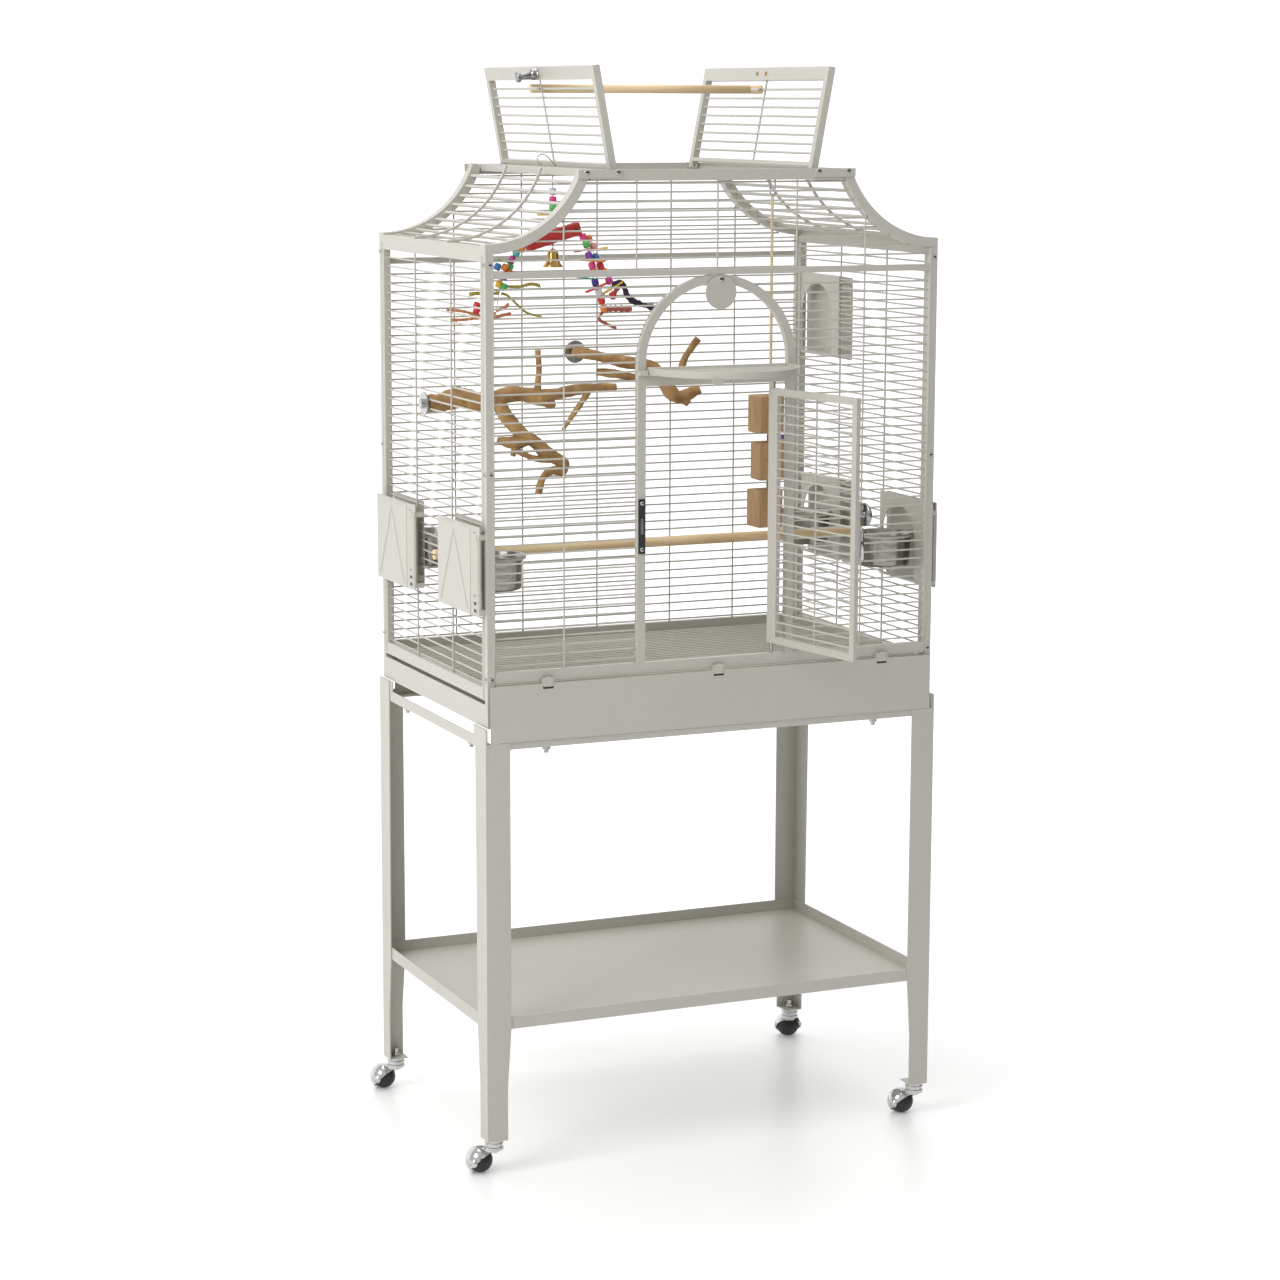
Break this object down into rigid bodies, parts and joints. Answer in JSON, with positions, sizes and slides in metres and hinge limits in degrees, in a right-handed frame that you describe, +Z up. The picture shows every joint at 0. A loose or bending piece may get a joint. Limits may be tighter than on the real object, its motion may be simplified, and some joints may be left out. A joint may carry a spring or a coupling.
{
  "type": "bird cage",
  "caption": "Tall wire bird cage on a wheeled stand with a shelf, an open swept roof, a front door, a landing flap, swing-out feeders and a drawer.",
  "frame": {"origin": "on the floor under the centre of the cage's walls", "axes": "+X to the right, +Y to the back, +Z up"},
  "size_m": [0.8633, 0.7786, 1.8132],
  "materials": {
    "powder_coat": "fine speckled satin powder coat",
    "zinc": "zinc plated",
    "chrome": "bright plated",
    "black_metal": "satin black",
    "ball_plastic": "satin",
    "bowl_steel": "polished stainless steel",
    "dowel": "plain sanded",
    "bark": "natural bark",
    "red_wood": "stained",
    "beads": "gloss, mixed colours",
    "sisal": "twisted sisal",
    "cardboard": "plain"
  },
  "bodies": {
    "cage": {"leg_front_left": "powder_coat", "leg_front_right": "powder_coat", "leg_back_left": "powder_coat", "leg_back_right": "powder_coat", "stand_rails": "powder_coat", "shelf": "powder_coat", "shelf_brackets": "powder_coat", "stand_fasteners": "zinc", "caster_stems": "zinc", "base_skirts": "powder_coat", "front_panel": "powder_coat", "arch_frame": "powder_coat", "left_panel": "powder_coat", "right_panel": "powder_coat", "back_panel": "powder_coat", "roof_left": "powder_coat", "roof_right": "powder_coat", "flap_brackets": "powder_coat", "screws": "zinc", "pivot_pins": "zinc", "strike_plate": "black_metal", "feeder_frames": "powder_coat", "hinge_lugs": "powder_coat", "perch": "dowel", "branch_left": "bark", "branch_back": "bark", "branch_studs": "zinc"},
    "hood_front_left": {"caster_hood_front_left": "zinc"},
    "wheel_front_left": {"caster_wheel_front_left": "ball_plastic"},
    "hood_front_right": {"caster_hood_front_right": "zinc"},
    "wheel_front_right": {"caster_wheel_front_right": "ball_plastic"},
    "hood_back_left": {"caster_hood_back_left": "zinc"},
    "wheel_back_left": {"caster_wheel_back_left": "ball_plastic"},
    "hood_back_right": {"caster_hood_back_right": "zinc"},
    "wheel_back_right": {"caster_wheel_back_right": "ball_plastic"},
    "drawer": {"drawer": "powder_coat", "floor_grate": "powder_coat"},
    "door": {"door": "powder_coat"},
    "door_latch": {"door_latch": "chrome"},
    "landing_flap": {"landing_flap": "powder_coat"},
    "latch_disc": {"latch_disc": "powder_coat"},
    "roof_flap_left": {"roof_flap_left": "powder_coat"},
    "roof_flap_right": {"roof_flap_right": "powder_coat"},
    "roof_latch": {"roof_latch": "chrome"},
    "feeder_left_front": {"feeder_door_left_front": "powder_coat", "bowl_left_front": "bowl_steel"},
    "feeder_left_back": {"feeder_door_left_back": "powder_coat", "bowl_left_back": "bowl_steel"},
    "feeder_right_front": {"feeder_door_right_front": "powder_coat", "bowl_right_front": "bowl_steel"},
    "feeder_right_back": {"feeder_door_right_back": "powder_coat", "bowl_right_back": "bowl_steel"},
    "feeder_right_upper": {"feeder_door_right_upper": "powder_coat"},
    "bar_toy": {"toy_bar": "red_wood", "toy_beads": "beads"},
    "bell": {"toy_bell": "chrome"},
    "carton_toy": {"toy_clip": "zinc", "toy_rope": "sisal", "toy_cartons": "cardboard"}
  },
  "joints": [
    {"name": "swivel_front_left", "type": "hinge", "parent": "cage", "child": "hood_front_left", "pos_m": [-0.394, -0.2465, 0.05], "axis": [0, 0, 1], "continuous": true},
    {"name": "roll_front_left", "type": "hinge", "parent": "hood_front_left", "child": "wheel_front_left", "pos_m": [-0.4114, -0.22718, 0.021], "axis": [-0.7431, -0.6691, 0], "continuous": true},
    {"name": "swivel_front_right", "type": "hinge", "parent": "cage", "child": "hood_front_right", "pos_m": [0.394, -0.2465, 0.05], "axis": [0, 0, 1], "continuous": true},
    {"name": "roll_front_right", "type": "hinge", "parent": "hood_front_right", "child": "wheel_front_right", "pos_m": [0.3822, -0.22333, 0.021], "axis": [-0.891, -0.454, 0], "continuous": true},
    {"name": "swivel_back_left", "type": "hinge", "parent": "cage", "child": "hood_back_left", "pos_m": [-0.394, 0.2465, 0.05], "axis": [0, 0, 1], "continuous": true},
    {"name": "roll_back_left", "type": "hinge", "parent": "hood_back_left", "child": "wheel_back_left", "pos_m": [-0.41071, 0.26642, 0.021], "axis": [-0.766, -0.6428, 0], "continuous": true},
    {"name": "swivel_back_right", "type": "hinge", "parent": "cage", "child": "hood_back_right", "pos_m": [0.394, 0.2465, 0.05], "axis": [0, 0, 1], "continuous": true},
    {"name": "roll_back_right", "type": "hinge", "parent": "hood_back_right", "child": "wheel_back_right", "pos_m": [0.40289, 0.27093, 0.021], "axis": [-0.9397, 0.342, 0], "continuous": true},
    {"name": "drawer_slide", "type": "slide", "parent": "cage", "child": "drawer", "axis": [0, -1, 0], "range_m": [0, 0.45]},
    {"name": "door_hinge", "type": "hinge", "parent": "cage", "child": "door", "pos_m": [0.105, -0.2515, 1.07], "axis": [0, 0, 1], "range_deg": [-101, 45]},
    {"name": "door_latch_turn", "type": "hinge", "parent": "door", "child": "door_latch", "pos_m": [0.15095, -0.46669, 1.1015], "axis": [0.9816, 0.1908, 0], "range_deg": [-90, 90]},
    {"name": "landing_hinge", "type": "hinge", "parent": "cage", "child": "landing_flap", "pos_m": [0, -0.262, 1.322], "axis": [1, 0, 0], "range_deg": [-90, 0]},
    {"name": "disc_turn", "type": "hinge", "parent": "cage", "child": "latch_disc", "pos_m": [0.0036, -0.2602, 1.471], "axis": [0, 1, 0], "range_deg": [-180, 0]},
    {"name": "roof_flap_left_hinge", "type": "hinge", "parent": "cage", "child": "roof_flap_left", "pos_m": [-0.179, 0, 1.644], "axis": [0, 1, 0], "range_deg": [0, 100.5]},
    {"name": "roof_flap_right_hinge", "type": "hinge", "parent": "cage", "child": "roof_flap_right", "pos_m": [0.179, 0, 1.644], "axis": [0, 1, 0], "range_deg": [-100.5, 0]},
    {"name": "roof_latch_turn", "type": "hinge", "parent": "roof_flap_left", "child": "roof_latch", "pos_m": [-0.21411, 0, 1.80022], "axis": [-0.9833, 0, -0.1822], "range_deg": [0, 90]},
    {"name": "feeder_left_front_hinge", "type": "hinge", "parent": "cage", "child": "feeder_left_front", "pos_m": [-0.4145, -0.247, 1.01], "axis": [0, 0, 1], "range_deg": [0, 110]},
    {"name": "feeder_left_back_hinge", "type": "hinge", "parent": "cage", "child": "feeder_left_back", "pos_m": [-0.4145, 0.061, 1.01], "axis": [0, 0, 1], "range_deg": [0, 110]},
    {"name": "feeder_right_front_hinge", "type": "hinge", "parent": "cage", "child": "feeder_right_front", "pos_m": [0.4145, -0.247, 1.01], "axis": [0, 0, -1], "range_deg": [0, 110]},
    {"name": "feeder_right_back_hinge", "type": "hinge", "parent": "cage", "child": "feeder_right_back", "pos_m": [0.4145, 0.061, 1.01], "axis": [0, 0, -1], "range_deg": [0, 110]},
    {"name": "feeder_right_upper_hinge", "type": "hinge", "parent": "cage", "child": "feeder_right_upper", "pos_m": [0.4145, 0.075, 1.375], "axis": [0, 0, -1], "range_deg": [0, 110]},
    {"name": "bar_toy_swing", "type": "hinge", "parent": "cage", "child": "bar_toy", "pos_m": [-0.1945, -0.02, 1.6357], "axis": [0, 1, 0], "range_deg": [-8, 8]},
    {"name": "bell_swing", "type": "hinge", "parent": "bar_toy", "child": "bell", "pos_m": [-0.1945, -0.02, 1.5212], "axis": [1, 0, 0], "range_deg": [-20, 20]},
    {"name": "carton_toy_swing", "type": "hinge", "parent": "cage", "child": "carton_toy", "pos_m": [0.1945, -0.055, 1.6357], "axis": [0, 1, 0], "range_deg": [-8, 8]}
  ],
  "couplings": [
    {"joint": "disc_turn", "follows": "landing_hinge", "ratio": 2}
  ]
}
